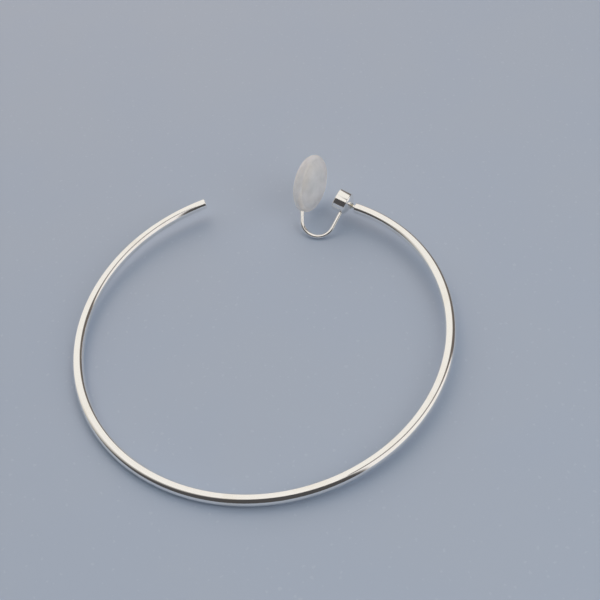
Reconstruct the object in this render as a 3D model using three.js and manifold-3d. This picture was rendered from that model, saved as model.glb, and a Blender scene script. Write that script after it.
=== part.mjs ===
// Clip-on hoop earring, lying on a flat surface. Millimetres, +Z up.
// The origin is under the middle of the earring, on the surface that it lies on, and +Y runs towards the clip.
import * as THREE from 'three';
import Module from 'manifold-3d';
import { mergeVertices } from 'three/addons/utils/BufferGeometryUtils.js';
import { ConvexHull } from 'three/addons/math/ConvexHull.js';

// Hoop: a round wire bent to an open ring, with plain cut ends
const HOOP_OUTER_DIAMETER = 55;
const HOOP_WIRE_DIAMETER = 1.6;
const FIXED_END_ANGLE = 71; // degrees from +X, the end that carries the clip
const GAP_ANGLE = 54.6; // degrees of the ring that are open, from the fixed end to the free end
const END_DRAW_IN = 0.7; // how far the fixed end curls in from the true circle
const END_DRAW_SPAN = 40; // degrees over which it curls in
const END_SPRING_OUT = 0.3; // how far the free end stands out from the true circle
const END_SPRING_SPAN = 60; // degrees over which it opens

// Peg: joins the drum to the hoop's fixed end, and is bent where it enters the hoop
const PEG_DIAMETER = 0.7;
const PEG_SHOWING = 0.65; // length in the open, between the hoop's end and the drum
const PEG_SEAT = 0.9; // length inside the hoop's end
const PEG_BEND = 0.3; // length of its bend, to each side of the hoop's end
const PEG_CLEARANCE = 0.05; // all round the peg in its seat

// Drum: the short cylinder in front of the ear lobe
const DRUM_DIAMETER = 3.5;
const DRUM_LENGTH = 1.95; // flat face and straight side, without the domed back
const DRUM_DOME = 0.8; // height of the domed back
const DRUM_CHAMFER = 0.12; // round the flat face
const DRUM_LIFT = 14; // degrees that the drum's axis rises from the hoop's plane, towards the pad

// Clip wire: a U under the ear lobe, from the drum to the pad
const CLIP_WIRE_DIAMETER = 0.65;
const CLIP_DIP = 30; // degrees that the U turns down out of the hoop's plane, about the drum's axis
const LEG_INSET = 0.3; // from the end of the drum's straight side forward to the near leg
const BEND_DEPTH = 4.4; // from the drum's axis down to the centre of the bend
const BEND_RADIUS = 2.55; // to the middle of the wire
const FAR_LEG_LEAN = 26; // degrees that the far leg leans away from the drum
const LEG_HOLD = 0.5; // share of the way to the paddle over which the far leg keeps its lean
const FOOT_HOLD = 0.33; // share of that way over which the wire runs up into the paddle's foot

// Pad: a soft lens-shaped disc behind the ear lobe
const PAD_DIAMETER = 9.2;
const PAD_THICKNESS = 3.2;
const PAD_FACE_DIAMETER = 3.4; // flat middle of each face
const PAD_RIM = 1.4; // thickness of the rounded rim
const PAD_RISE = 0.2; // how far the pad's middle stands above the drum's axis
const PAD_LEAN = 10; // degrees that the pad leans away from the drum
const PAD_TWIST = 17; // degrees that the pad turns about its own upright, so that its front looks up
const LOBE_GAP = 3.2; // from the drum's flat face to the pad, along the drum's axis
const POCKET_CLEARANCE = 0.06; // between the pad and the metal inside it

// Paddle: the flattened end of the clip wire, inside the pad
const PADDLE_LENGTH = 4.8;
const PADDLE_WIDTH = 1.8;
const PADDLE_THICKNESS = 0.35;
const PADDLE_BACKING = 0.4; // of pad behind the paddle
const PADDLE_MARGIN = 1.6; // from the paddle's tip to the pad's edge

// Weights in grams per cubic millimetre
const METAL_DENSITY = 0.0085;
const PAD_DENSITY = 0.0011;

// Fineness of the round shapes
const HOOP_SIDES = 16;
const HOOP_STEPS = 96;
const PEG_SIDES = 16;
const PEG_STEPS = 12;
const DRUM_SIDES = 36;
const DOME_STEPS = 5;
const CLIP_WIRE_SIDES = 12;
const CLIP_WIRE_STEPS = 44;
const PADDLE_ARC_STEPS = 8;
const PAD_SIDES = 40;
const PAD_FACE_STEPS = 6;
const PAD_RIM_STEPS = 3;
const SAME_POINT = 1e-5; // corners nearer than this are one

const METAL = { color: 0xd9d5cd, roughness: 0.12, metalness: 1 };
const SILICONE = { color: 0xc9cbca, roughness: 0.55, metalness: 0 };

const wasm = await Module();
wasm.setup();

const rad = THREE.MathUtils.degToRad;
const UP = new THREE.Vector3(0, 0, 1);
const DOWN = new THREE.Vector3(0, 0, -1);
const ringRadius = (HOOP_OUTER_DIAMETER - HOOP_WIRE_DIAMETER) / 2;
const hoopWireRadius = HOOP_WIRE_DIAMETER / 2;
const clipWireRadius = CLIP_WIRE_DIAMETER / 2;
const drumRadius = DRUM_DIAMETER / 2;
const padRadius = PAD_DIAMETER / 2;

// From the drum's middle back to the hoop's end
const drumReach = DRUM_LENGTH / 2 + DRUM_DOME + PEG_SHOWING;

// A closed geometry as a solid that can be cut and joined
function solidOf(geometry) {
  const bare = geometry.clone();
  bare.deleteAttribute('normal');
  bare.deleteAttribute('uv');
  const merged = mergeVertices(bare, SAME_POINT);
  const corners = merged.index.array;
  const whole = [];
  for (let i = 0; i < corners.length; i += 3) {
    const [a, b, c] = corners.slice(i, i + 3);
    if (a !== b && b !== c && c !== a) whole.push(a, b, c);
  }
  return new wasm.Manifold(new wasm.Mesh({
    numProp: 3,
    vertProperties: new Float32Array(merged.attributes.position.array),
    triVerts: new Uint32Array(whole),
  }));
}

// A solid back as a geometry
function geometryOf(solid) {
  const mesh = solid.getMesh();
  const geometry = new THREE.BufferGeometry();
  geometry.setAttribute('position', new THREE.BufferAttribute(new Float32Array(mesh.vertProperties), 3));
  geometry.setIndex(new THREE.BufferAttribute(new Uint32Array(mesh.triVerts), 1));
  geometry.computeVertexNormals();
  return geometry;
}

// A round wire of a given radius along a path
function wireAlong(path, radius, sides, steps) {
  const section = [];
  for (let i = 0; i < sides; i += 1) {
    const a = (2 * Math.PI * i) / sides;
    section.push(new THREE.Vector2(radius * Math.cos(a), radius * Math.sin(a)));
  }
  return new THREE.ExtrudeGeometry(new THREE.Shape(section), { steps, bevelEnabled: false, extrudePath: path });
}

// A turned piece whose axis is +X, from a profile of [radius, place along the axis]
function turned(profile, sides) {
  const outline = profile.map(([radius, along]) => new THREE.Vector2(radius, along));
  return new THREE.LatheGeometry(outline, sides).rotateZ(-Math.PI / 2);
}

// The middle line of the hoop, from its fixed end the long way round to its free end
class HoopLine extends THREE.Curve {
  getPoint(t, target = new THREE.Vector3()) {
    const turn = (360 - GAP_ANGLE) * t;
    const left = (360 - GAP_ANGLE) * (1 - t);
    const drawn = END_DRAW_IN * Math.max(0, 1 - turn / END_DRAW_SPAN) ** 2;
    const sprung = END_SPRING_OUT * Math.max(0, 1 - left / END_SPRING_SPAN) ** 2;
    const radius = ringRadius - drawn + sprung;
    const a = rad(FIXED_END_ANGLE - turn);
    return target.set(radius * Math.cos(a), radius * Math.sin(a), 0);
  }
}

// A round bend in the XY plane, anticlockwise from one angle to another
class Bend extends THREE.Curve {
  constructor(centre, radius, from, to) {
    super();
    Object.assign(this, { centre, radius, from, to });
  }

  getPoint(t, target = new THREE.Vector3()) {
    const a = this.from + (this.to - this.from) * t;
    const across = this.radius * Math.cos(a);
    return target.set(this.centre.x + across, this.centre.y + this.radius * Math.sin(a), 0);
  }
}

// The clip's frame: +X along the drum's axis towards the pad, +Y up from the bend, +Z square to the U.
// Its origin is the middle of the drum.
function clipFrame(hoopLine) {
  const end = hoopLine.getPoint(0);
  const level = hoopLine.getTangent(0).negate();
  const outwards = level.clone().cross(UP);
  const along = level.applyAxisAngle(outwards, rad(DRUM_LIFT));
  const up = outwards.applyAxisAngle(along, -rad(CLIP_DIP));
  const middle = end.clone().addScaledVector(along, drumReach);
  return new THREE.Matrix4().makeBasis(along, up, along.clone().cross(up)).setPosition(middle);
}

// The pad's frame within the clip's: +X square to its faces, away from the drum, and +Y up the pad
const padFrame = new THREE.Matrix4()
  .makeRotationZ(-rad(PAD_LEAN))
  .multiply(new THREE.Matrix4().makeRotationY(-rad(PAD_TWIST)))
  .setPosition(DRUM_LENGTH / 2 + LOBE_GAP + PAD_THICKNESS / 2, PAD_RISE, 0);

// The paddle's frame within the clip's, square with the pad's, with its origin at the paddle's middle
const paddleFrame = padFrame.clone().multiply(new THREE.Matrix4().makeTranslation(
  PAD_THICKNESS / 2 - PADDLE_BACKING - POCKET_CLEARANCE - PADDLE_THICKNESS / 2,
  padRadius - PADDLE_MARGIN - PADDLE_LENGTH / 2,
  0,
));

// The middle line of the clip wire: down from the drum, round the bend and up into the pad
function clipLine() {
  const lean = rad(FAR_LEG_LEAN);
  const legTop = new THREE.Vector3(LEG_INSET - DRUM_LENGTH / 2, 0, 0);
  const bendCentre = new THREE.Vector3(legTop.x + BEND_RADIUS, -BEND_DEPTH, 0);
  const bend = new Bend(bendCentre, BEND_RADIUS, Math.PI, 2 * Math.PI - lean);
  const bendEnd = bend.getPoint(1);
  const foot = new THREE.Vector3(0, -PADDLE_LENGTH / 2, 0).applyMatrix4(paddleFrame);
  const legWay = new THREE.Vector3(Math.sin(lean), Math.cos(lean), 0);
  const footWay = new THREE.Vector3(0, 1, 0).transformDirection(paddleFrame);
  const reach = bendEnd.distanceTo(foot);
  const path = new THREE.CurvePath();
  path.add(new THREE.LineCurve3(legTop, bend.getPoint(0)));
  path.add(bend);
  path.add(new THREE.CubicBezierCurve3(
    bendEnd,
    bendEnd.clone().addScaledVector(legWay, reach * LEG_HOLD),
    foot.clone().addScaledVector(footWay, -reach * FOOT_HOLD),
    foot.clone().addScaledVector(footWay, clipWireRadius),
  ));
  return path;
}

// The drum, its flat face towards +X and its dome towards the hoop
function drumGeometry() {
  const front = DRUM_LENGTH / 2;
  const domeSphere = (drumRadius ** 2 + DRUM_DOME ** 2) / (2 * DRUM_DOME);
  const domeReach = Math.asin(drumRadius / domeSphere);
  const profile = [[0, -front - DRUM_DOME]];
  for (let i = 1; i <= DOME_STEPS; i += 1) {
    const a = (domeReach * i) / DOME_STEPS;
    profile.push([domeSphere * Math.sin(a), -front - DRUM_DOME + domeSphere * (1 - Math.cos(a))]);
  }
  profile.push([drumRadius, front - DRUM_CHAMFER], [drumRadius - DRUM_CHAMFER, front], [0, front]);
  return turned(profile, DRUM_SIDES);
}

// The peg, in the clip's frame: back from the drum's middle, and bent to run straight into the hoop's end.
// It is grown by a clearance where it stands for its seat.
function pegSolid(intoHoop, clearance) {
  const end = new THREE.Vector3(-drumReach, 0, 0);
  const bendStart = new THREE.Vector3(PEG_BEND - drumReach, 0, 0);
  const bendEnd = end.clone().addScaledVector(intoHoop, PEG_BEND);
  const tip = end.clone().addScaledVector(intoHoop, PEG_SEAT + clearance);
  const path = new THREE.CurvePath();
  path.add(new THREE.LineCurve3(new THREE.Vector3(), bendStart));
  path.add(new THREE.QuadraticBezierCurve3(bendStart, end, bendEnd));
  path.add(new THREE.LineCurve3(bendEnd, tip));
  return solidOf(wireAlong(path, PEG_DIAMETER / 2 + clearance, PEG_SIDES, PEG_STEPS));
}

// The paddle: a flat plate that widens from the wire to a round tip, grown by a clearance for its pocket
function paddleGeometry(clearance) {
  const half = PADDLE_WIDTH / 2 + clearance;
  const foot = clipWireRadius + clearance;
  const low = -PADDLE_LENGTH / 2;
  const tip = PADDLE_LENGTH / 2 + clearance - half;
  const waist = (low + tip) / 2;
  const outline = new THREE.Shape();
  outline.moveTo(-foot, low);
  outline.lineTo(foot, low);
  outline.bezierCurveTo(foot, waist, half, waist, half, tip);
  outline.absarc(0, tip, half, 0, Math.PI, false);
  outline.bezierCurveTo(-half, waist, -foot, waist, -foot, low);
  const depth = PADDLE_THICKNESS + 2 * clearance;
  const plate = new THREE.ExtrudeGeometry(outline, {
    depth,
    bevelEnabled: false,
    curveSegments: PADDLE_ARC_STEPS,
  });
  return plate.translate(0, 0, -depth / 2).rotateY(Math.PI / 2).applyMatrix4(paddleFrame);
}

// The clip wire with its paddle, in the clip's frame
function clipWireSolid(clearance) {
  const wire = wireAlong(clipLine(), clipWireRadius + clearance, CLIP_WIRE_SIDES, CLIP_WIRE_STEPS);
  return solidOf(wire).add(solidOf(paddleGeometry(clearance)));
}

// The pad's lens, flat in the middle of each face and round at its rim
function lensGeometry() {
  const flat = PAD_FACE_DIAMETER / 2;
  const rim = PAD_RIM / 2;
  const crown = PAD_THICKNESS / 2 - rim;
  const shoulder = padRadius - rim;
  const side = [];
  for (let i = 0; i <= PAD_FACE_STEPS; i += 1) {
    const share = i / PAD_FACE_STEPS;
    side.push([flat + (shoulder - flat) * share, rim + crown * (1 - share ** 2)]);
  }
  for (let i = 1; i <= PAD_RIM_STEPS; i += 1) {
    const a = (Math.PI / 2) * (1 - i / PAD_RIM_STEPS);
    side.push([shoulder + rim * Math.cos(a), rim * Math.sin(a)]);
  }
  const mirrored = side.slice(0, -1).reverse().map(([radius, along]) => [radius, -along]);
  const profile = [[0, PAD_THICKNESS / 2], ...side, ...mirrored, [0, -PAD_THICKNESS / 2]];
  return turned(profile.reverse(), PAD_SIDES);
}

function piece(name, geometry, look) {
  const mesh = new THREE.Mesh(geometry, new THREE.MeshStandardMaterial(look));
  mesh.name = name;
  return mesh;
}

// The middle of weight of the pieces, each with its own density
function balancePoint(meshes, densities) {
  const sum = new THREE.Vector3();
  let weight = 0;
  meshes.forEach((mesh, which) => {
    const place = mesh.geometry.clone().applyMatrix4(mesh.matrixWorld).toNonIndexed().attributes.position;
    for (let i = 0; i < place.count; i += 3) {
      const [a, b, c] = [0, 1, 2].map((k) => new THREE.Vector3().fromBufferAttribute(place, i + k));
      // A thin pyramid from the origin to the triangle has a sixth of this product as its volume
      const part = (densities[which] * a.dot(b.clone().cross(c))) / 6;
      sum.addScaledVector(a.add(b).add(c), part / 4);
      weight += part;
    }
  });
  return sum.divideScalar(weight);
}

// Every corner of the pieces
function cornersOf(meshes) {
  return meshes.flatMap((mesh) => {
    const place = mesh.geometry.attributes.position;
    return Array.from({ length: place.count }, (_, i) => (
      new THREE.Vector3().fromBufferAttribute(place, i).applyMatrix4(mesh.matrixWorld)));
  });
}

// Lays the earring down as it comes to rest: the face of its convex hull that lies under its weight goes down
function layDown(group, densities) {
  group.updateMatrixWorld(true);
  const meshes = [];
  group.traverse((child) => child.isMesh && meshes.push(child));
  const weight = balancePoint(meshes, densities);
  const corners = cornersOf(meshes);
  const hull = new ConvexHull().setFromPoints(corners);
  const faceTowards = (way) => {
    const reach = (face) => (face.constant - face.normal.dot(weight)) / face.normal.dot(way);
    return hull.faces.filter((face) => face.normal.dot(way) > 0).reduce((a, b) => (reach(b) < reach(a) ? b : a));
  };
  let under = faceTowards(DOWN);
  for (let next = faceTowards(under.normal); next !== under; next = faceTowards(under.normal)) under = next;
  group.quaternion.setFromUnitVectors(under.normal, DOWN);
  const box = new THREE.Box3().setFromPoints(corners.map((corner) => corner.applyQuaternion(group.quaternion)));
  const middle = box.getCenter(new THREE.Vector3());
  group.position.set(-middle.x, -middle.y, -box.min.z);
}

const hoopLine = new HoopLine();
const frame = clipFrame(hoopLine);
const intoHoop = hoopLine.getTangent(0).transformDirection(frame.clone().invert());

const seat = pegSolid(intoHoop, PEG_CLEARANCE).transform(frame.elements);
const hoopWire = solidOf(wireAlong(hoopLine, hoopWireRadius, HOOP_SIDES, HOOP_STEPS));
const hoop = piece('hoop', geometryOf(hoopWire.subtract(seat)), METAL);

const clipMetal = solidOf(drumGeometry()).add(pegSolid(intoHoop, 0)).add(clipWireSolid(0));
const earClip = piece('ear_clip', geometryOf(clipMetal), METAL);

const pocket = clipWireSolid(POCKET_CLEARANCE);
const lens = solidOf(lensGeometry().applyMatrix4(padFrame));
const earPad = piece('ear_pad', geometryOf(lens.subtract(pocket)), SILICONE);

const clip = new THREE.Group();
frame.decompose(clip.position, clip.quaternion, clip.scale);
clip.add(earClip, earPad);

const earring = new THREE.Group();
earring.add(hoop, clip);
layDown(earring, [METAL_DENSITY, METAL_DENSITY, PAD_DENSITY]);

export default earring;
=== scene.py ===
"""A clip-on hoop earring of polished silver plate with a milky silicone pad, on pale matte paper."""

import logging
import math
from dataclasses import dataclass, field
from enum import Enum

import bmesh
import bpy
from mathutils import Matrix, Vector


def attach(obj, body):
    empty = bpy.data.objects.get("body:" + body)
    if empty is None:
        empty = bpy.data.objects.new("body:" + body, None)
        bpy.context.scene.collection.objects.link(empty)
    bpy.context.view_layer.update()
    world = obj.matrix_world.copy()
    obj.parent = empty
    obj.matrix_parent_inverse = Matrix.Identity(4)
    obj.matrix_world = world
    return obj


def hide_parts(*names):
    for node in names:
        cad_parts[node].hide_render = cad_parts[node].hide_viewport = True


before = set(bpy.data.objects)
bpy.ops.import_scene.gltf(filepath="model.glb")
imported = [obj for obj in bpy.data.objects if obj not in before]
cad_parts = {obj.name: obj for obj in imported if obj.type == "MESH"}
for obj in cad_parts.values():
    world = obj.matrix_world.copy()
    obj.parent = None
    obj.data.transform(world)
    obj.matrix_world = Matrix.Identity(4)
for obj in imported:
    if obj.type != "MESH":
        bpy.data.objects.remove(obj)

LOG = logging.getLogger("earring")
MM = 0.001
BODY = "root"
UP = Vector((0, 0, 1))
NOISE_MIDDLE = 0.5

# Attributes of the surfaces. STRAIGHT is the place along the wire and then across it, as if the wire were
# straight, in metres. SOLDERED is the share of solder that the finish shows. ALONG, CENTRE and ACROSS are
# the way from the wire's start, the middle line there and the place in the round section.
STRAIGHT = "straight"
SOLDERED = "soldered"
ALONG = "along"
CENTRE = "centre"
ACROSS = "across"

# Polishing lines run round a turned piece, so their lengthways coordinate is this much slower there
TURNING_SPREAD = 12.0

VECTOR_DATA = "FLOAT_VECTOR"

Socket = bpy.types.NodeSocket
Piece = bpy.types.Object
Finish = bpy.types.Material
Profile = list[tuple[float, float]]
Sockets = dict[str | int, object]


class Slot(Enum):
    """Names for material slots, which the script doesn't use."""

    HOOP = "hoop_metal"
    CLIP = "clip_metal"
    PAD = "pad_silicone"


class Node(Enum):
    """The solids of the frame that the pieces stand for."""

    HOOP = "hoop"
    CLIP = "ear_clip"
    PAD = "ear_pad"


class Value:
    """A number in a node tree, which takes part in Python arithmetic."""

    def __init__(self, bench: "Bench", socket: Socket) -> None:
        """Keeps the bench of the tree and the output socket that carries the number."""
        self.bench = bench
        self.socket = socket

    def __add__(self, other: "Value | float") -> "Value":
        """Adds two numbers."""
        return self.bench.maths("ADD", self, other)

    def __radd__(self, other: float) -> "Value":
        """Adds two numbers, the plain one first."""
        return self.bench.maths("ADD", other, self)

    def __sub__(self, other: "Value | float") -> "Value":
        """Subtracts a number from this one."""
        return self.bench.maths("SUBTRACT", self, other)

    def __rsub__(self, other: float) -> "Value":
        """Subtracts this number from a plain one."""
        return self.bench.maths("SUBTRACT", other, self)

    def __mul__(self, other: "Value | float") -> "Value":
        """Multiplies two numbers."""
        return self.bench.maths("MULTIPLY", self, other)

    def __truediv__(self, other: "Value | float") -> "Value":
        """Divides this number by another."""
        return self.bench.maths("DIVIDE", self, other)

    def __pow__(self, power: float) -> "Value":
        """Raises this number to a power."""
        return self.bench.maths("POWER", self, power)

    def at_least(self, floor: "Value | float") -> "Value":
        """Gives the larger of this number and another."""
        return self.bench.maths("MAXIMUM", self, floor)

    def at_most(self, ceiling: "Value | float") -> "Value":
        """Gives the smaller of this number and another."""
        return self.bench.maths("MINIMUM", self, ceiling)

    def eased(self, start: "Value | float", end: "Value | float") -> "Value":
        """Rises smoothly from 0 to 1 while this number goes from one value to another.

        Args:
            start: Where the result is 0.
            end: Where the result is 1.

        Returns:
            The eased share.
        """
        node = self.bench.make(
            "ShaderNodeMapRange",
            {"Value": self, "From Min": start, "From Max": end},
            interpolation_type="SMOOTHSTEP",
        )
        return Value(self.bench, node.outputs["Result"])


class Bench:
    """Adds and links the nodes of one tree."""

    def __init__(self, tree: bpy.types.NodeTree) -> None:
        """Keeps the shader or geometry tree to build in."""
        self.tree = tree

    def make(self, kind: str, sockets: Sockets | None = None, **settings: object) -> bpy.types.Node:
        """Adds a node.

        Args:
            kind: The node's type.
            sockets: A value or a link for each input, by its name, identifier or number.
            settings: Its own settings, which are set first.

        Returns:
            The new node.
        """
        node = self.tree.nodes.new(kind)
        for name, setting in settings.items():
            setattr(node, name, setting)
        self.feed(node, sockets or {})
        return node

    def feed(self, node: bpy.types.Node, sockets: Sockets) -> None:
        """Links or sets inputs of a node.

        Args:
            node: The node.
            sockets: A value or a link for each input, by its name, identifier or number.
        """
        for key, entry in sockets.items():
            target = self._input(node, key)
            if isinstance(entry, Value):
                entry = entry.socket
            if isinstance(entry, Socket):
                self.tree.links.new(entry, target)
            else:
                target.default_value = entry

    @staticmethod
    def _input(node: bpy.types.Node, key: str | int) -> Socket:
        """Finds an input of a node by its number, identifier or name."""
        if isinstance(key, int):
            return node.inputs[key]
        shown = [socket for socket in node.inputs if socket.enabled]
        by_identifier = [socket for socket in shown if socket.identifier == key]
        return (by_identifier or [socket for socket in shown if socket.name == key])[0]

    def value(self, node: bpy.types.Node, output: str | int = 0) -> Value:
        """Wraps one output of a node."""
        return Value(self, node.outputs[output])

    def maths(self, operation: str, *terms: "Value | float") -> Value:
        """Adds a Math node for some terms and returns its result."""
        return self.value(self.make("ShaderNodeMath", dict(enumerate(terms)), operation=operation))

    def vector_maths(self, operation: str, *terms: object) -> bpy.types.Node:
        """Adds a Vector Math node and returns it."""
        return self.make("ShaderNodeVectorMath", dict(enumerate(terms)), operation=operation)

    def stretched(self, vector: Socket, scale: tuple[float, float, float]) -> Socket:
        """Stretches a vector by a plain scale along each axis."""
        return self.vector_maths("MULTIPLY", vector, scale).outputs[0]

    def times(self, way: Socket, distance: Value) -> Socket:
        """Gives a way times a distance."""
        node = self.make("ShaderNodeVectorMath", {0: way, "Scale": distance}, operation="SCALE")
        return node.outputs[0]

    def part_along(self, vector: Socket, way: object) -> Value:
        """Gives the length of a vector's part along a unit way."""
        return self.value(self.vector_maths("DOT_PRODUCT", vector, way), "Value")

    def noise(self, vector: Socket, scale: float, detail: float = 2.0) -> Value:
        """Adds a Noise Texture.

        Args:
            vector: The coordinates that it reads.
            scale: Bumps to the unit.
            detail: Finer layers.

        Returns:
            The noise, about 0.5.
        """
        sockets = {"Vector": vector, "Scale": scale, "Detail": detail}
        return self.value(self.make("ShaderNodeTexNoise", sockets), "Fac")

    def mixed(self, factor: "Value | float", first: object, second: object) -> Socket:
        """Mixes two colours.

        Args:
            factor: The second colour's share.
            first: A colour or a link.
            second: A colour or a link.

        Returns:
            The mixed colour's socket.
        """
        node = self.make(
            "ShaderNodeMix",
            {"Factor_Float": factor, "A_Color": first, "B_Color": second},
            data_type="RGBA",
        )
        return next(socket for socket in node.outputs if socket.identifier == "Result_Color")

    def bump(self, strength: float, height: Value) -> Socket:
        """Gives the normal of a height in metres, at a strength from 0 to 1."""
        sockets = {"Strength": strength, "Distance": 1.0, "Height": height}
        return self.make("ShaderNodeBump", sockets).outputs["Normal"]


def new_material(name: str) -> tuple[Finish, Bench, bpy.types.Node]:
    """Makes a material with a Principled shader.

    Args:
        name: The material's name.

    Returns:
        The material, the bench of its tree and its shader node.
    """
    material = bpy.data.materials.new(name)
    material.use_nodes = True
    bench = Bench(material.node_tree)
    shader = next(node for node in material.node_tree.nodes if node.type == "BSDF_PRINCIPLED")
    return material, bench, shader


@dataclass(frozen=True)
class SilverPlate:
    """Polished silver plate, with fine polishing lines along the wire and a warmer tone on solder."""

    name: str = "polished_silver_plate"
    colour: tuple[float, ...] = (0.965, 0.95, 0.925, 1)
    solder: tuple[float, ...] = (0.72, 0.68, 0.56, 1)
    cloud_tint: tuple[float, ...] = (0.93, 0.90, 0.85, 1)
    roughness: float = 0.07
    line_roughness: float = 0.05
    smudge_roughness: float = 0.05
    lines: tuple[float, float, float] = (700.0, 16000.0, 16000.0)
    line_detail: float = 3.0
    smudge_scale: float = 260.0
    smudge_detail: float = 3.0
    smudge_from: float = 0.48
    smudge_to: float = 0.75
    wave_scale: float = 520.0
    wave_detail: float = 1.0
    line_depth: float = 0.0006 * MM
    wave_depth: float = 0.0035 * MM
    bump_strength: float = 0.35

    def make(self) -> Finish:
        """Builds the material and returns it."""
        material, bench, shader = new_material(self.name)
        straight = bench.make("ShaderNodeAttribute", attribute_name=STRAIGHT).outputs["Vector"]
        soldered = bench.value(bench.make("ShaderNodeAttribute", attribute_name=SOLDERED), "Fac")
        place = bench.make("ShaderNodeTexCoord").outputs["Object"]
        lines = bench.noise(bench.stretched(straight, self.lines), 1.0, self.line_detail)
        smudges = bench.noise(place, self.smudge_scale, self.smudge_detail)
        waves = bench.noise(place, self.wave_scale, self.wave_detail)
        clouds = smudges.eased(self.smudge_from, self.smudge_to)
        plate = bench.mixed(clouds, self.colour, self.cloud_tint)
        colour = bench.mixed(soldered, plate, self.solder)
        roughness = self.roughness + lines * self.line_roughness + clouds * self.smudge_roughness
        roughness = roughness + soldered * self.line_roughness
        height = lines * self.line_depth + waves * self.wave_depth
        bench.feed(
            shader,
            {
                "Base Color": colour,
                "Roughness": roughness,
                "Normal": bench.bump(self.bump_strength, height),
                "Metallic": 1.0,
            },
        )
        return material


@dataclass(frozen=True)
class MilkySilicone:
    """Soft moulded silicone: cloudy, half see-through, with a frosted skin."""

    name: str = "milky_silicone"
    colour: tuple[float, ...] = (1.0, 0.995, 0.965, 1)
    cloud: tuple[float, ...] = (0.985, 0.98, 0.95, 1)
    cloud_scale: float = 420.0
    cloud_detail: float = 3.0
    cloud_from: float = 0.35
    cloud_to: float = 0.7
    roughness: float = 0.38
    roughness_spread: float = 0.12
    skin_scale: float = 5200.0
    skin_depth: float = 0.006 * MM
    skin_strength: float = 0.4
    body: float = 0.5
    body_spread: float = 0.35
    pocket_body: float = 0.06
    pocket_from: float = 1 * MM
    pocket_to: float = 5 * MM
    bloom: float = 0.7
    bloom_roughness: float = 0.5
    refraction: float = 1.41
    glow: float = 1.0
    glow_radius: tuple[float, float, float] = (1.0, 0.95, 0.9)
    glow_depth: float = 3.6 * MM

    def make(self) -> Finish:
        """Builds the material and returns it."""
        material, bench, shader = new_material(self.name)
        place = bench.make("ShaderNodeTexCoord").outputs["Object"]
        clouds = bench.noise(place, self.cloud_scale, self.cloud_detail)
        skin = bench.noise(place, self.skin_scale)
        colour = bench.mixed(clouds.eased(self.cloud_from, self.cloud_to), self.colour, self.cloud)
        roughness = self.roughness + (clouds - NOISE_MIDDLE) * self.roughness_spread
        # The pocket's wall alone has a way along the wire, which it keeps from the shape that cut it
        wall = bench.value(bench.make("ShaderNodeAttribute", attribute_name=ALONG), "Fac")
        clear = wall.eased(self.pocket_from, self.pocket_to)
        skin_body = self.body + (clouds - NOISE_MIDDLE) * self.body_spread
        body = skin_body * (1 - clear) + clear * self.pocket_body
        bench.feed(
            shader,
            {
                "Base Color": colour,
                "Roughness": roughness,
                "Alpha": body,
                "Normal": bench.bump(self.skin_strength, skin * self.skin_depth),
                "IOR": self.refraction,
                "Sheen Weight": self.bloom,
                "Sheen Roughness": self.bloom_roughness,
                "Subsurface Weight": self.glow,
                "Subsurface Radius": self.glow_radius,
                "Subsurface Scale": self.glow_depth,
            },
        )
        return material


@dataclass(frozen=True)
class MattePaper:
    """The pale blue-grey paper that the earring lies on, faintly mottled and with a few light fibres."""

    name: str = "matte_paper"
    colour: tuple[float, ...] = (0.449, 0.556, 0.73, 1)
    mottle: tuple[float, ...] = (0.456, 0.56, 0.726, 1)
    fibre: tuple[float, ...] = (0.49, 0.595, 0.76, 1)
    mottle_scale: float = 45.0
    mottle_from: float = 0.35
    mottle_to: float = 0.65
    fibre_scale: float = 1500.0
    fibre_detail: float = 0.0
    fibre_from: float = 0.74
    fibre_to: float = 0.8
    grain_scale: float = 2600.0
    grain_depth: float = 0.02 * MM
    grain_strength: float = 0.25
    roughness: float = 0.9

    def make(self) -> Finish:
        """Builds the material and returns it."""
        material, bench, shader = new_material(self.name)
        place = bench.make("ShaderNodeTexCoord").outputs["Object"]
        mottle = bench.noise(place, self.mottle_scale).eased(self.mottle_from, self.mottle_to)
        fibres = bench.noise(place, self.fibre_scale, self.fibre_detail)
        flecks = fibres.eased(self.fibre_from, self.fibre_to)
        grain = bench.noise(place, self.grain_scale)
        colour = bench.mixed(flecks, bench.mixed(mottle, self.colour, self.mottle), self.fibre)
        bump = bench.bump(self.grain_strength, grain * self.grain_depth)
        bench.feed(shader, {"Base Color": colour, "Normal": bump, "Roughness": self.roughness})
        return material


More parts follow.
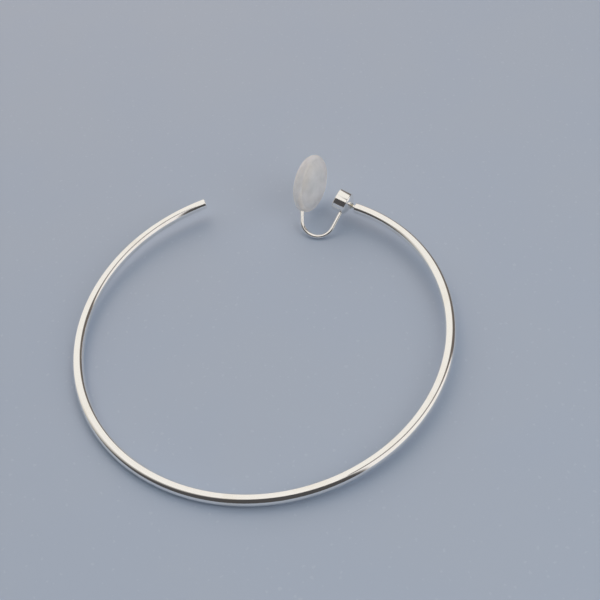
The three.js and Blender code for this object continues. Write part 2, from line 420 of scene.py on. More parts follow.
class ShapeTree:
    """A Geometry Nodes tree with named inputs, ended by Realize Instances and Set Material."""

    FINISH = "Finish"
    KINDS = {float: "NodeSocketFloat", int: "NodeSocketInt", tuple: "NodeSocketVector"}

    def __init__(self, name: str, sizes: dict[str, float | int | tuple[float, ...]]) -> None:
        """Makes the tree's interface and its input node.

        Args:
            name: The tree's name.
            sizes: The value of each named input, whose type gives the input's.
        """
        self.sizes = sizes
        self.tree = bpy.data.node_groups.new(name, "GeometryNodeTree")
        self.tree.is_modifier = True
        self.bench = Bench(self.tree)
        interface = self.tree.interface
        interface.new_socket("Geometry", in_out="INPUT", socket_type="NodeSocketGeometry")
        interface.new_socket("Geometry", in_out="OUTPUT", socket_type="NodeSocketGeometry")
        for size, entry in sizes.items():
            interface.new_socket(size, in_out="INPUT", socket_type=self.KINDS[type(entry)])
        interface.new_socket(self.FINISH, in_out="INPUT", socket_type="NodeSocketMaterial")
        self.entry = self.bench.make("NodeGroupInput")

    def size(self, name: str) -> Value:
        """Gives a named input as a number."""
        return self.bench.value(self.entry, name)

    def stored(self, geometry: Socket, name: str, value: object, kind: str = "FLOAT") -> Socket:
        """Stores an attribute on the points of a curve or mesh.

        Args:
            geometry: The geometry.
            name: The attribute's name.
            value: A link that gives it.
            kind: The attribute's data type.

        Returns:
            The geometry with the attribute.
        """
        node = self.bench.make(
            "GeometryNodeStoreNamedAttribute",
            {"Geometry": geometry, "Name": name, "Value": value},
            data_type=kind,
            domain="POINT",
        )
        return node.outputs["Geometry"]

    def read(self, name: str, kind: str = "FLOAT") -> Socket:
        """Reads a stored attribute."""
        node = self.bench.make("GeometryNodeInputNamedAttribute", {"Name": name}, data_type=kind)
        return next(socket for socket in node.outputs if socket.enabled)

    def swept(self, curve: Socket, radius: Value, sides: Value) -> Socket:
        """Sweeps a round section along a curve, with closed ends and the surface's own coordinates.

        Args:
            curve: The middle line.
            radius: The wire's radius.
            sides: Corners of the section.

        Returns:
            The wire's mesh.
        """
        bench = self.bench
        parameter = bench.make("GeometryNodeSplineParameter")
        position = bench.make("GeometryNodeInputPosition").outputs[0]
        curve = self.stored(curve, ALONG, parameter.outputs["Length"])
        curve = self.stored(curve, CENTRE, position, VECTOR_DATA)
        ring = bench.make(
            "GeometryNodeCurvePrimitiveCircle",
            {"Resolution": sides, "Radius": radius},
        ).outputs["Curve"]
        section = self.stored(ring, ACROSS, position, VECTOR_DATA)
        mesh = bench.make(
            "GeometryNodeCurveToMesh",
            {"Curve": curve, "Profile Curve": section, "Fill Caps": True},
        ).outputs["Mesh"]
        across = bench.make("ShaderNodeSeparateXYZ", {0: self.read(ACROSS, VECTOR_DATA)})
        straight = bench.make(
            "ShaderNodeCombineXYZ",
            {"X": self.read(ALONG), "Y": across.outputs["X"], "Z": across.outputs["Y"]},
        )
        mesh = self.stored(mesh, STRAIGHT, straight.outputs[0], VECTOR_DATA)
        return bench.make("GeometryNodeSetShadeSmooth", {"Geometry": mesh}).outputs["Geometry"]

    def finished(self, geometry: Socket) -> None:
        """Ends the tree with its finished geometry."""
        real = self.bench.make("GeometryNodeRealizeInstances", {"Geometry": geometry})
        dressed = self.bench.make(
            "GeometryNodeSetMaterial",
            {"Geometry": real.outputs["Geometry"], "Material": self.entry.outputs[self.FINISH]},
        )
        self.bench.make("NodeGroupOutput", {"Geometry": dressed.outputs["Geometry"]})

    def apply(self, base: Piece, finish: Finish, name: str) -> Piece:
        """Runs the tree on an object and keeps the result as a plain mesh.

        Args:
            base: The object that carries the input geometry, which is removed.
            finish: The new piece's material.
            name: The new piece's name.

        Returns:
            The piece, without modifiers.
        """
        inputs = {**self.sizes, self.FINISH: finish}
        modifier = base.modifiers.new(self.tree.name, "NODES")
        modifier.node_group = self.tree
        for item in self.tree.interface.items_tree:
            if item.item_type == "SOCKET" and item.in_out == "INPUT" and item.name in inputs:
                modifier[item.identifier] = inputs[item.name]
        base.update_tag()
        return plain(base, name)


def plain(base: Piece, name: str) -> Piece:
    """Turns an object with modifiers into a plain mesh object.

    Args:
        base: The object, which is removed.
        name: The new object's name.

    Returns:
        The plain object.
    """
    bpy.context.view_layer.update()
    graph = bpy.context.evaluated_depsgraph_get()
    mesh = bpy.data.meshes.new_from_object(
        base.evaluated_get(graph), preserve_all_data_layers=True, depsgraph=graph
    )
    bpy.data.objects.remove(base)
    mesh.name = name
    return linked(name, mesh)


def linked(name: str, data: object) -> Piece:
    """Makes an object of some data and puts it in the scene."""
    piece = bpy.data.objects.new(name, data)
    bpy.context.scene.collection.objects.link(piece)
    return piece


def line_object(name: str, points: list[Vector]) -> Piece:
    """Makes a curve object of one open line through points.

    Args:
        name: The object's name.
        points: The points, in metres.

    Returns:
        The curve object.
    """
    curve = bpy.data.curves.new(name, "CURVE")
    curve.dimensions = "3D"
    spline = curve.splines.new("POLY")
    spline.points.add(len(points) - 1)
    for place, point in zip(spline.points, points):
        place.co = (*point, 1)
    return linked(name, curve)


def bezier(corners: list[Vector], steps: int) -> list[Vector]:
    """Samples a cubic Bezier curve, without its first point.

    Args:
        corners: Its four control points.
        steps: How many points.

    Returns:
        The points.
    """
    points = []
    for step in range(1, steps + 1):
        share = step / steps
        left = 1 - share
        weights = (left**3, 3 * left**2 * share, 3 * left * share**2, share**3)
        points.append(sum((corner * weight for corner, weight in zip(corners, weights)), Vector()))
    return points


def turned(
    name: str,
    profile: Profile,
    sides: int,
    place: Matrix,
    material: Finish,
    soldered: float = 0.0,
) -> Piece:
    """Turns a profile about the +X axis of a frame into a closed piece.

    Args:
        name: The piece's name.
        profile: Points of (radius, place along the axis), which start and end on the axis.
        sides: Faces round the axis.
        place: The frame in which +X is the axis.
        material: The finish.
        soldered: How far the finish shows solder, from 0 to 1.

    Returns:
        The piece.
    """
    mesh = bpy.data.meshes.new(name)
    build = bmesh.new()
    straight = build.verts.layers.float_vector.new(STRAIGHT)
    tinned = build.verts.layers.float.new(SOLDERED)
    rings = []
    for radius, along in profile:
        count = sides if radius > 0 else 1
        ring = []
        for side in range(count):
            turn = 2 * math.pi * side / count
            offset = Vector((along, radius * math.cos(turn), radius * math.sin(turn)))
            corner = build.verts.new(place @ offset)
            corner[straight] = (radius * math.cos(turn) / TURNING_SPREAD, along, radius)
            corner[tinned] = soldered
            ring.append(corner)
        rings.append(ring)
    for near, far in zip(rings, rings[1:]):
        for side in range(sides):
            after = (side + 1) % sides
            corners = [
                near[side % len(near)],
                near[after % len(near)],
                far[after % len(far)],
                far[side % len(far)],
            ]
            build.faces.new(list(dict.fromkeys(corners)))
    bmesh.ops.recalc_face_normals(build, faces=build.faces)
    for face in build.faces:
        face.smooth = True
    build.to_mesh(mesh)
    build.free()
    mesh.materials.append(material)
    return linked(name, mesh)


def rounded(profile: Profile, radius: float, steps: int = 4) -> Profile:
    """Rounds the inner corners of a profile.

    Args:
        profile: The profile's corners.
        radius: How far from a corner the rounding starts.
        steps: Pieces of each rounding.

    Returns:
        The rounded profile.
    """
    smooth = [profile[0]]
    for before, corner, after in zip(profile, profile[1:], profile[2:]):
        middle = Vector(corner)
        start = middle + (Vector(before) - middle).normalized() * radius
        end = middle + (Vector(after) - middle).normalized() * radius
        for step in range(steps + 1):
            share = step / steps
            point = start * (1 - share) ** 2 + middle * 2 * share * (1 - share) + end * share**2
            smooth.append(tuple(point))
    smooth.append(profile[-1])
    return smooth


def bevelled(piece: Piece, width: float, steps: int, turn: float) -> Piece:
    """Rounds the sharp edges of a piece.

    Args:
        piece: The piece, which is replaced.
        width: The width of the rounding.
        steps: Its segments.
        turn: Edges that turn by more than this angle are rounded.

    Returns:
        The new piece.
    """
    name = piece.name
    piece.name = "sharp_" + name
    bevel = piece.modifiers.new("edge", "BEVEL")
    bevel.width = width
    bevel.segments = steps
    bevel.limit_method = "ANGLE"
    bevel.angle_limit = turn
    return plain(piece, name)


def fixed(piece: Piece, node: Node) -> Piece:
    """Puts a piece on the earring's one body, in place of a solid of the frame.

    Args:
        piece: The piece.
        node: The solid that it stands for.

    Returns:
        The piece.
    """
    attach(piece, BODY)
    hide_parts(node.value)
    LOG.info("%s: %d faces", piece.name, len(piece.data.polygons))
    return piece


@dataclass
class Lie:
    """How the earring lies: the hoop's own frame, with the ring in its XY plane, within the object's."""

    middle: Vector = field(default_factory=lambda: Vector((0.00203, -1.80495, 1.93937)) * MM)
    rise: float = math.radians(2.44824)
    hinge: float = math.radians(-3.10195)

    def matrix(self) -> Matrix:
        """Gives the hoop's frame: raised by an angle about a level line at the hinge's heading."""
        line = Vector((math.cos(self.hinge), math.sin(self.hinge), 0))
        return Matrix.Translation(self.middle) @ Matrix.Rotation(self.rise, 4, line)


@dataclass
class Hoop:
    """The round wire bent to an open ring."""

    outer_diameter: float = 55 * MM
    wire_diameter: float = 1.6 * MM
    fixed_end: float = math.radians(71)
    gap: float = math.radians(54.6)
    draw_in: float = 0.7 * MM
    draw_span: float = math.radians(40)
    spring_out: float = 0.3 * MM
    spring_span: float = math.radians(60)
    steps: int = 540
    sides: int = 48
    edge: float = 0.07 * MM
    edge_steps: int = 3
    edge_turn: float = math.radians(50)

    @property
    def ring_radius(self) -> float:
        """The radius to the middle of the wire."""
        return (self.outer_diameter - self.wire_diameter) / 2

    def point(self, turn: float) -> Vector:
        """Gives the point of the middle line that lies an angle on from the fixed end."""
        radius = self.ring_radius - self.draw_in * max(0.0, 1 - turn / self.draw_span) ** 2
        heading = self.fixed_end - turn
        return Vector((radius * math.cos(heading), radius * math.sin(heading), 0))

    def into_wire(self) -> Vector:
        """Gives the way in which the wire leaves its fixed end."""
        small = math.radians(0.01)
        return (self.point(small) - self.point(0)).normalized()

    def _tree(self) -> ShapeTree:
        """Builds the tree that bends the ring from its rule and sweeps the wire."""
        shape = ShapeTree(
            "open_ring",
            {
                "Ring Radius": self.ring_radius,
                "Wire Radius": self.wire_diameter / 2,
                "Fixed End": self.fixed_end,
                "Swept": 2 * math.pi - self.gap,
                "Draw In": self.draw_in,
                "Draw Span": self.draw_span,
                "Spring Out": self.spring_out,
                "Spring Span": self.spring_span,
                "Steps": self.steps,
                "Sides": self.sides,
            },
        )
        bench = shape.bench
        line = bench.make("GeometryNodeCurvePrimitiveLine").outputs["Curve"]
        line = bench.make(
            "GeometryNodeResampleCurve",
            {"Curve": line, "Count": shape.size("Steps")},
            mode="COUNT",
        ).outputs["Curve"]
        share = bench.value(bench.make("GeometryNodeSplineParameter"), "Factor")
        turn = shape.size("Swept") * share
        left = shape.size("Swept") * (1 - share)
        drawn = shape.size("Draw In") * (1 - turn / shape.size("Draw Span")).at_least(0) ** 2
        sprung = shape.size("Spring Out") * (1 - left / shape.size("Spring Span")).at_least(0) ** 2
        radius = shape.size("Ring Radius") - drawn + sprung
        heading = shape.size("Fixed End") - turn
        across = radius * bench.maths("COSINE", heading)
        up = radius * bench.maths("SINE", heading)
        place = bench.make("ShaderNodeCombineXYZ", {"X": across, "Y": up}).outputs[0]
        ring = bench.make("GeometryNodeSetPosition", {"Geometry": line, "Position": place})
        wire = shape.swept(ring.outputs["Geometry"], shape.size("Wire Radius"), shape.size("Sides"))
        shape.finished(wire)
        return shape

    def build(self, lie: Matrix, finish: Finish) -> Piece:
        """Makes the hoop.

        Args:
            lie: The hoop's frame.
            finish: Its material.

        Returns:
            The piece.
        """
        base = linked("ring_base", bpy.data.meshes.new("ring_base"))
        piece = self._tree().apply(base, finish, "hoop_wire")
        piece = bevelled(piece, self.edge, self.edge_steps, self.edge_turn)
        piece.data.transform(lie)
        return fixed(piece, Node.HOOP)


@dataclass
class Drum:
    """The short cylinder in front of the ear lobe, with a domed back."""

    diameter: float = 3.5 * MM
    length: float = 1.95 * MM
    dome: float = 0.8 * MM
    chamfer: float = 0.12 * MM
    rim: float = 0.06 * MM
    lift: float = math.radians(14)
    sides: int = 120
    dome_steps: int = 24

    def profile(self) -> Profile:
        """Gives the turned outline, from the top of the dome to the middle of the flat face."""
        front = self.length / 2
        radius = self.diameter / 2
        sphere = (radius**2 + self.dome**2) / (2 * self.dome)
        reach = math.asin(radius / sphere)
        top = -front - self.dome
        outline = [(0.0, top)]
        for step in range(1, self.dome_steps):
            angle = reach * step / self.dome_steps
            outline.append((sphere * math.sin(angle), top + sphere * (1 - math.cos(angle))))
        corners = [
            outline[-1],
            (radius, -front),
            (radius, front - self.chamfer),
            (radius - self.chamfer, front),
            (0.0, front),
        ]
        return outline[:-1] + rounded(corners, self.rim)

    def build(self, place: Matrix, finish: Finish) -> Piece:
        """Makes the drum in the clip's frame."""
        piece = turned("clip_drum", self.profile(), self.sides, place, finish)
        return fixed(piece, Node.CLIP)


@dataclass
class Peg:
    """The short peg between the drum and the hoop, with solder round both of its ends."""

    diameter: float = 0.7 * MM
    showing: float = 0.65 * MM
    seat: float = 0.9 * MM
    bend: float = 0.3 * MM
    bend_hold: float = 2 / 3
    bend_steps: int = 10
    sides: int = 40
    solder: float = 0.16 * MM
    solder_sink: float = 0.05 * MM
    solder_steps: int = 8

    def points(self, reach: float, into_hoop: Vector) -> list[Vector]:
        """Gives the peg's middle line, in the clip's frame.

        Args:
            reach: From the drum's middle to the hoop's end.
            into_hoop: The way in which the hoop's wire runs from its end.

        Returns:
            The points.
        """
        end = Vector((-reach, 0, 0))
        start = end + Vector((self.bend, 0, 0))
        inside = end + into_hoop * self.bend
        corners = [start, start.lerp(end, self.bend_hold), inside.lerp(end, self.bend_hold), inside]
        return [Vector(), start, *bezier(corners, self.bend_steps), end + into_hoop * self.seat]

    def fillet(self) -> Profile:
        """Gives the outline of the solder round the peg, on a flat base towards +X."""
        radius = self.diameter / 2
        outline = [(0.0, self.solder_sink), (radius + self.solder, self.solder_sink)]
        for step in range(self.solder_steps + 1):
            angle = math.pi / 2 * step / self.solder_steps
            out = radius + self.solder * (1 - math.sin(angle))
            outline.append((out, -self.solder * (1 - math.cos(angle))))
        outline.append((0.0, -self.solder))
        return outline


@dataclass
class ClipWire:
    """The springy U wire from the drum to the pad, flattened to a paddle at its end."""

    diameter: float = 0.65 * MM
    inset: float = 0.3 * MM
    depth: float = 4.4 * MM
    bend_radius: float = 2.55 * MM
    lean: float = math.radians(26)
    leg_hold: float = 0.5
    foot_hold: float = 0.33
    paddle_length: float = 4.8 * MM
    paddle_width: float = 1.8 * MM
    paddle_thickness: float = 0.35 * MM
    pressed_share: float = 0.55
    tip_blunt: float = 0.004
    tip_hold: float = 3.0
    leg_steps: int = 44
    bend_steps: int = 90
    far_steps: int = 60
    paddle_steps: int = 90
    sides: int = 40

    def points(self, drum: Drum, paddle: Matrix) -> list[Vector]:
        """Gives the middle line, down from the drum, round the bend and up to the paddle's tip.

        Args:
            drum: The drum that it hangs from.
            paddle: The paddle's frame within the clip's.

        Returns:
            The points, in the clip's frame.
        """
        top = Vector((self.inset - drum.length / 2, 0, 0))
        centre = Vector((top.x + self.bend_radius, -self.depth, 0))
        bottom = centre - Vector((self.bend_radius, 0, 0))
        points = [top.lerp(bottom, step / self.leg_steps) for step in range(self.leg_steps)]
        for step in range(self.bend_steps + 1):
            angle = math.pi + (math.pi - self.lean) * step / self.bend_steps
            points.append(centre + Vector((math.cos(angle), math.sin(angle), 0)) * self.bend_radius)
        half = Vector((0, self.paddle_length / 2, 0))
        foot = paddle @ -half
        tip = paddle @ half
        foot_way = (tip - foot).normalized()
        leg_way = Vector((math.sin(self.lean), math.cos(self.lean), 0))
        start = points[-1].copy()
        reach = (foot - start).length
        rise = [
            start,
            start + leg_way * reach * self.leg_hold,
            foot - foot_way * reach * self.foot_hold,
            foot,
        ]
        points += bezier(rise, self.far_steps)
        for step in range(1, self.paddle_steps + 1):
            points.append(foot.lerp(tip, step / self.paddle_steps))
        return points

    def _tree(self, sizes: dict[str, float | int | tuple[float, ...]]) -> ShapeTree:
        """Builds the tree that sweeps a wire along a line and hammers its end flat.

        Args:
            sizes: The tree's named inputs.

        Returns:
            The tree.
        """
        shape = ShapeTree("hammered_wire", sizes)
        bench = shape.bench
        radius = shape.size("Wire Radius")
        mesh = shape.swept(shape.entry.outputs["Geometry"], radius, shape.size("Sides"))
        to_tip = (shape.size("Line Length") - Value(bench, shape.read(ALONG))).at_least(0)
        paddle = shape.size("Paddle Length")
        half = shape.size("Half Width")
        spread = to_tip.eased(paddle, half)
        nose = 1 - (1 - (to_tip / half).at_most(1)) ** 2
        round_tip = bench.maths("SQRT", nose.at_least(self.tip_blunt))
        width = (radius + (half - radius) * spread) * round_tip / radius
        pressed = to_tip.eased(paddle, paddle * self.pressed_share)
        thin = radius + (shape.size("Half Thickness") - radius) * pressed
        thin = thin * (round_tip * self.tip_hold).at_most(1)
        position = bench.make("GeometryNodeInputPosition").outputs[0]
        centre = shape.read(CENTRE, VECTOR_DATA)
        offset = bench.vector_maths("SUBTRACT", position, centre).outputs[0]
        face_way = shape.entry.outputs["Face Way"]
        across_way = shape.entry.outputs["Across Way"]
        outwards = bench.part_along(offset, face_way)
        sideways = bench.part_along(offset, across_way)
        face_shift = bench.times(face_way, outwards.at_most(thin).at_least(thin * -1) - outwards)
        side_shift = bench.times(across_way, sideways * (width - 1))
        shift = bench.vector_maths("ADD", face_shift, side_shift).outputs[0]
        hammered = bench.make("GeometryNodeSetPosition", {"Geometry": mesh, "Offset": shift})
        shape.finished(hammered.outputs["Geometry"])
        return shape

    def solid(
        self,
        name: str,
        points: list[Vector],
        paddle: Matrix,
        finish: Finish,
        clearance: float = 0.0,
    ) -> Piece:
        """Sweeps the wire, grown by a clearance where it stands for its pocket.

        Args:
            name: The object's name.
            points: The middle line.
            paddle: The paddle's frame within the clip's.
            finish: The material.
            clearance: How much every side grows.

        Returns:
            The wire, in the clip's frame.
        """
        line = list(points)
        if clearance:
            line.append(points[-1] + (points[-1] - points[-2]).normalized() * clearance)
        length = sum((after - before).length for before, after in zip(line, line[1:]))
        turn = paddle.to_3x3()
        sizes = {
            "Wire Radius": self.diameter / 2 + clearance,
            "Sides": self.sides,
            "Line Length": length,
            "Paddle Length": self.paddle_length + clearance,
            "Half Width": self.paddle_width / 2 + clearance,
            "Half Thickness": self.paddle_thickness / 2 + clearance,
            "Face Way": tuple(turn @ Vector((1, 0, 0))),
            "Across Way": tuple(turn @ Vector((0, 0, 1))),
        }
        return self._tree(sizes).apply(line_object(name + "_line", line), finish, name)


@dataclass
class Pad:
    """The soft lens-shaped disc behind the ear lobe, pushed over the paddle."""

    diameter: float = 9.2 * MM
    thickness: float = 3.2 * MM
    face_diameter: float = 3.4 * MM
    rim: float = 1.4 * MM
    rise: float = 0.2 * MM
    lean: float = math.radians(10)
    twist: float = math.radians(17)
    lobe_gap: float = 3.2 * MM
    pocket: float = 0.06 * MM
    backing: float = 0.4 * MM
    margin: float = 1.6 * MM
    parting: float = 0.02 * MM
    face_steps: int = 28
    rim_steps: int = 12
    sides: int = 144

    def place(self, drum: Drum) -> Matrix:
        """Gives the pad's frame within the clip's, with +X square to its faces and away from the drum."""
        middle = Vector((drum.length / 2 + self.lobe_gap + self.thickness / 2, self.rise, 0))
        lean = Matrix.Rotation(-self.lean, 4, "Z")
        twist = Matrix.Rotation(-self.twist, 4, "Y")
        return Matrix.Translation(middle) @ lean @ twist

    def paddle_place(self, drum: Drum, wire: ClipWire) -> Matrix:
        """Gives the frame within the clip's of the paddle, the wire's end that lies in the pad."""
        back = self.thickness / 2 - self.backing - self.pocket - wire.paddle_thickness / 2
        up = self.diameter / 2 - self.margin - wire.paddle_length / 2
        return self.place(drum) @ Matrix.Translation((back, up, 0))

    def profile(self) -> Profile:
        """Gives the turned outline: a crowned face, a round rim with a parting line, the other face."""
        flat = self.face_diameter / 2
        rim = self.rim / 2
        crown = self.thickness / 2 - rim
        shoulder = self.diameter / 2 - rim
        side = [(0.0, self.thickness / 2)]
        for step in range(self.face_steps + 1):
            share = step / self.face_steps
            side.append((flat + (shoulder - flat) * share, rim + crown * (1 - share**2)))
        for step in range(1, self.rim_steps):
            angle = math.pi / 2 * (1 - step / self.rim_steps)
            side.append((shoulder + (rim - self.parting) * math.cos(angle), rim * math.sin(angle)))
        edge = [(self.diameter / 2 - self.parting, self.parting), (self.diameter / 2, 0.0)]
        mirrored = [(radius, -along) for radius, along in reversed(side + edge[:1])]
        return side + edge + mirrored


@dataclass
class Clip:
    """The whole clip: drum, peg, U wire with its paddle, and the pad."""

    drum: Drum = field(default_factory=Drum)
    peg: Peg = field(default_factory=Peg)
    wire: ClipWire = field(default_factory=ClipWire)
    pad: Pad = field(default_factory=Pad)
    dip: float = math.radians(30)

    @property
    def reach(self) -> float:
        """From the drum's middle back to the hoop's end."""
        return self.drum.length / 2 + self.drum.dome + self.peg.showing

    def place(self, hoop: Hoop, lie: Matrix) -> Matrix:
        """Gives the clip's frame: +X along the drum towards the pad, +Y up from the bend.

        Args:
            hoop: The hoop that carries the clip.
            lie: The hoop's frame.

        Returns:
            The frame, whose origin is the drum's middle.
        """
        level = -hoop.into_wire()
        outwards = level.cross(UP)
        along = Matrix.Rotation(self.drum.lift, 3, outwards) @ level
        up = Matrix.Rotation(-self.dip, 3, along) @ outwards
        axes = Matrix((along, up, along.cross(up))).transposed().to_4x4()
        middle = hoop.point(0) + along * self.reach
        return lie @ Matrix.Translation(middle) @ axes

    def _peg(self, place: Matrix, into_hoop: Vector, finish: Finish) -> None:
        """Makes the peg and the solder at its ends.

        Args:
            place: The clip's frame.
            into_hoop: The way in which the hoop's wire runs from its end, in the clip's frame.
            finish: The material.
        """
        sizes = {"Wire Radius": self.peg.diameter / 2, "Sides": self.peg.sides}
        shape = ShapeTree("round_wire", sizes)
        line = shape.entry.outputs["Geometry"]
        shape.finished(shape.swept(line, shape.size("Wire Radius"), shape.size("Sides")))
        base = line_object("peg_line", self.peg.points(self.reach, into_hoop))
        piece = shape.apply(base, finish, "clip_peg")
        piece.data.transform(place)
        fixed(piece, Node.CLIP)
        back = -self.drum.length / 2 - self.drum.dome
        at_drum = place @ Matrix.Translation((back, 0, 0))
        turn = into_hoop.to_track_quat("X", "Z").to_matrix().to_4x4()
        at_hoop = place @ Matrix.Translation((-self.reach, 0, 0)) @ turn
        for name, frame_there in (("solder_at_drum", at_drum), ("solder_at_hoop", at_hoop)):
            solder = turned(name, self.peg.fillet(), self.peg.sides, frame_there, finish, 1.0)
            fixed(solder, Node.CLIP)

    def _pad(self, place: Matrix, pocket: Piece, finish: Finish) -> None:
        """Makes the pad and cuts the pocket for the paddle.

        Args:
            place: The clip's frame.
            pocket: The wire's shape grown by the clearance, in the clip's frame, which is removed.
            finish: The material.
        """
        lens = turned("lens", self.pad.profile(), self.pad.sides, self.pad.place(self.drum), finish)
        cut = lens.modifiers.new("pocket", "BOOLEAN")
        cut.operation = "DIFFERENCE"
        cut.solver = "EXACT"
        cut.object = pocket
        piece = plain(lens, "soft_pad")
        bpy.data.objects.remove(pocket)
        piece.data.transform(place)
        fixed(piece, Node.PAD)

    def build(self, hoop: Hoop, lie: Matrix, metal: Finish, soft: Finish) -> None:
        """Makes the whole clip.

        Args:
            hoop: The hoop that carries it.
            lie: The hoop's frame.
            metal: The finish of its metal.
            soft: The finish of its pad.
        """
        place = self.place(hoop, lie)
        into_hoop = (place.inverted() @ lie).to_3x3() @ hoop.into_wire()
        paddle = self.pad.paddle_place(self.drum, self.wire)
        line = self.wire.points(self.drum, paddle)
        self.drum.build(place, metal)
        self._peg(place, into_hoop, metal)
        wire = self.wire.solid("clip_wire", line, paddle, metal)
        wire.data.transform(place)
        fixed(wire, Node.CLIP)
        pocket = self.wire.solid("pocket", line, paddle, soft, self.pad.pocket)
        self._pad(place, pocket, soft)


def direction(heading: float, height: float) -> Vector:
    """Gives the unit vector at a heading from +X and an angle above level."""
    level = math.cos(height)
    return Vector((level * math.cos(heading), level * math.sin(heading), math.sin(height)))


def flat(name: str, corners: list[tuple[float, float, float]], finish: Finish) -> Piece:
    """Makes a flat sheet through four corners, given in order round it."""
    mesh = bpy.data.meshes.new(name)
    mesh.from_pydata(corners, [], [(0, 1, 2, 3)])
    mesh.materials.append(finish)
    return linked(name, mesh)


@dataclass
class Floor:
    """The plain paper under the earring."""

    half_side: float = 3.0
    name: str = "floor"

    def build(self, finish: Finish) -> None:
        """Makes the floor of a material."""
        far = self.half_side
        corners = [(-far, -far, 0), (far, -far, 0), (far, far, 0), (-far, far, 0)]
        flat(self.name, corners, finish)


@dataclass(frozen=True)
class Edge:
    """One edge of a panel, given by the direction in which the light grows."""

    heading: float
    height: float
    starts: float
    full: float

    def share(self, bench: Bench, way: Socket) -> Value:
        """Gives the share of the panel's light, from 0 to 1, in a unit direction of the world."""
        inside = bench.part_along(way, tuple(direction(self.heading, self.height)))
        return inside.eased(math.sin(self.starts), math.sin(self.full))


def edge(heading: float, height: float, starts: float, full: float) -> Edge:
    """Makes an edge from angles in degrees."""
    return Edge(*(math.radians(angle) for angle in (heading, height, starts, full)))


@dataclass(frozen=True)
class Panel:
    """A softly lit panel round the earring, whose light fades at its edges."""

    colour: tuple[float, ...]
    edges: tuple[Edge, ...]

    def over(self, bench: Bench, way: Socket, behind: object) -> Socket:
        """Lays the panel over what is behind it.

        Args:
            bench: The bench of the world's tree.
            way: The unit direction.
            behind: The colour or link behind the panel.

        Returns:
            The colour's socket.
        """
        share = self.edges[0].share(bench, way)
        for side in self.edges[1:]:
            share = share * side.share(bench, way)
        return bench.mixed(share, behind, self.colour)


@dataclass
class SoftLight:
    """The studio as the metal mirrors it: broad panels over the left and on the right, dark between."""

    left: Panel = Panel(
        (0.89, 0.865, 0.815, 1),
        (edge(105, 20, -14, 30), edge(134, 15, 1, 11), edge(190, 37, -3, 5)),
    )
    right: Panel = Panel(
        (0.89, 0.86, 0.835, 1),
        (edge(-46, -15, 4, 9), edge(-58, 0, -3, 3), edge(57, 0, -3, 3)),
    )
    front_dark: tuple[float, ...] = (0.07, 0.068, 0.07, 1)
    back_dark: tuple[float, ...] = (0.14, 0.12, 0.11, 1)
    dark_blend: float = 0.2
    backdrop: tuple[float, ...] = (0.40, 0.44, 0.52, 1)

    def build(self) -> None:
        """Makes the world."""
        world = bpy.data.worlds.new("soft_studio")
        world.use_nodes = True
        bpy.context.scene.world = world
        bench = Bench(world.node_tree)
        background = next(node for node in world.node_tree.nodes if node.type == "BACKGROUND")
        way = bench.make("ShaderNodeTexCoord").outputs["Generated"]
        backwards = bench.value(bench.make("ShaderNodeSeparateXYZ", {0: way}), "Y")
        back = backwards.eased(-self.dark_blend, self.dark_blend)
        lit = bench.mixed(back, self.front_dark, self.back_dark)
        for panel in (self.right, self.left):
            lit = panel.over(bench, way, lit)
        seen = bench.value(bench.make("ShaderNodeLightPath"), "Is Camera Ray")
        bench.feed(background, {"Color": bench.mixed(seen, lit, self.backdrop)})


@dataclass
class SoftBox:
    """A soft box that lights the paper and the pad. As it stands, it is the warm key light, back left."""

    name: str = "key_light"
    heading: float = math.radians(118)
    height: float = math.radians(45)
    distance: float = 320 * MM
    side: float = 260 * MM
    watts: float = 0.24
    colour: tuple[float, float, float] = (1.0, 0.62, 0.38)

    def build(self) -> None:
        """Makes the light. The metal doesn't mirror it, because the panels stand for what it mirrors."""
        data = bpy.data.lights.new(self.name, "AREA")
        data.shape = "SQUARE"
        data.size = self.side
        data.energy = self.watts
        data.color = self.colour
        light = linked(self.name, data)
        away = direction(self.heading, self.height)
        turn = away.to_track_quat("Z", "Y").to_matrix().to_4x4()
        light.matrix_world = Matrix.Translation(away * self.distance) @ turn
        light.visible_glossy = False


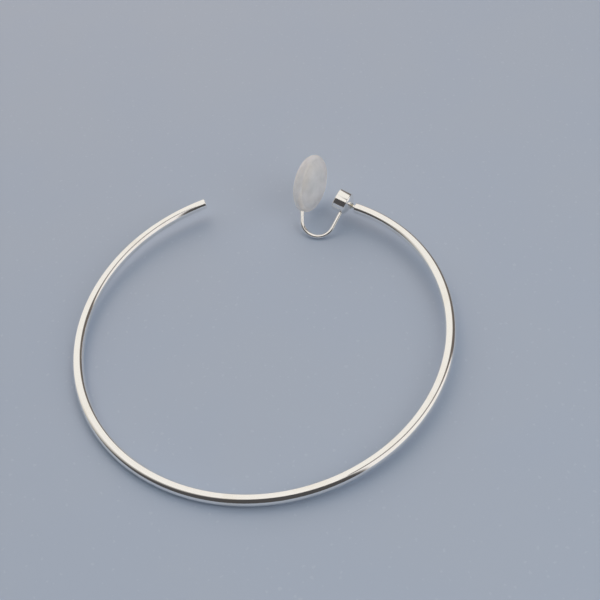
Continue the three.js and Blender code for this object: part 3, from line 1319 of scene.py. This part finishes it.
@dataclass
class OverheadPanel:
    """The left panel's near end, low enough for the clip to mirror more of it than the hoop does."""

    left: float = -110 * MM
    front_right: float = 66 * MM
    back_right: float = 4 * MM
    front: float = -58 * MM
    back: float = 20 * MM
    height: float = 118 * MM
    colour: tuple[float, ...] = (0.89, 0.865, 0.825, 1)
    name: str = "overhead_panel"

    def build(self) -> None:
        """Makes the panel. Only mirror surfaces see it, because the world already lights the rest."""
        corners = [
            (self.left, self.front, self.height),
            (self.left, self.back, self.height),
            (self.back_right, self.back, self.height),
            (self.front_right, self.front, self.height),
        ]
        material, bench, shader = new_material(self.name)
        bench.feed(
            shader,
            {
                "Base Color": (0, 0, 0, 1),
                "Specular IOR Level": 0.0,
                "Emission Color": self.colour,
                "Emission Strength": 1.0,
            },
        )
        panel = flat(self.name, corners, material)
        panel.visible_camera = False
        panel.visible_diffuse = False
        panel.visible_transmission = False
        panel.visible_shadow = False


@dataclass
class Camera:
    """The camera, at the photograph's angle to the earring."""

    aim: Vector = field(default_factory=lambda: Vector((3.62, 5.48, 0)) * MM)
    distance: float = 133.91 * MM
    azimuth: float = math.radians(-21.1)
    elevation: float = math.radians(49.97)
    roll: float = math.radians(-8.56)
    lens: float = 54.0
    sensor: float = 36.0
    nearest: float = 1 * MM
    farthest: float = 20.0

    def build(self) -> None:
        """Makes the camera and gives it to the scene."""
        data = bpy.data.cameras.new("camera")
        data.lens = self.lens
        data.sensor_width = self.sensor
        data.clip_start = self.nearest
        data.clip_end = self.farthest
        camera = linked("camera", data)
        look = direction(math.pi / 2 - self.azimuth, -self.elevation)
        turn = look.to_track_quat("-Z", "Y").to_matrix().to_4x4()
        place = self.aim - look * self.distance
        camera.matrix_world = Matrix.Translation(place) @ turn @ Matrix.Rotation(self.roll, 4, "Z")
        bpy.context.scene.camera = camera


def main() -> None:
    """Builds the scene."""
    logging.basicConfig(level=logging.INFO, format="%(name)s: %(message)s")
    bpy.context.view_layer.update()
    Camera().build()
    SoftLight().build()
    SoftBox().build()
    SoftBox(
        name="fill_light",
        heading=math.radians(-30),
        height=math.radians(40),
        watts=0.16,
        colour=(1.0, 0.93, 0.85),
    ).build()
    OverheadPanel().build()
    bpy.context.scene.view_settings.view_transform = "Standard"
    silver = SilverPlate().make()
    silicone = MilkySilicone().make()
    lie = Lie().matrix()
    hoop = Hoop()
    hoop.build(lie, silver)
    Clip().build(hoop, lie, silver, silicone)
    Floor().build(MattePaper().make())


if __name__ == "__main__":
    main()
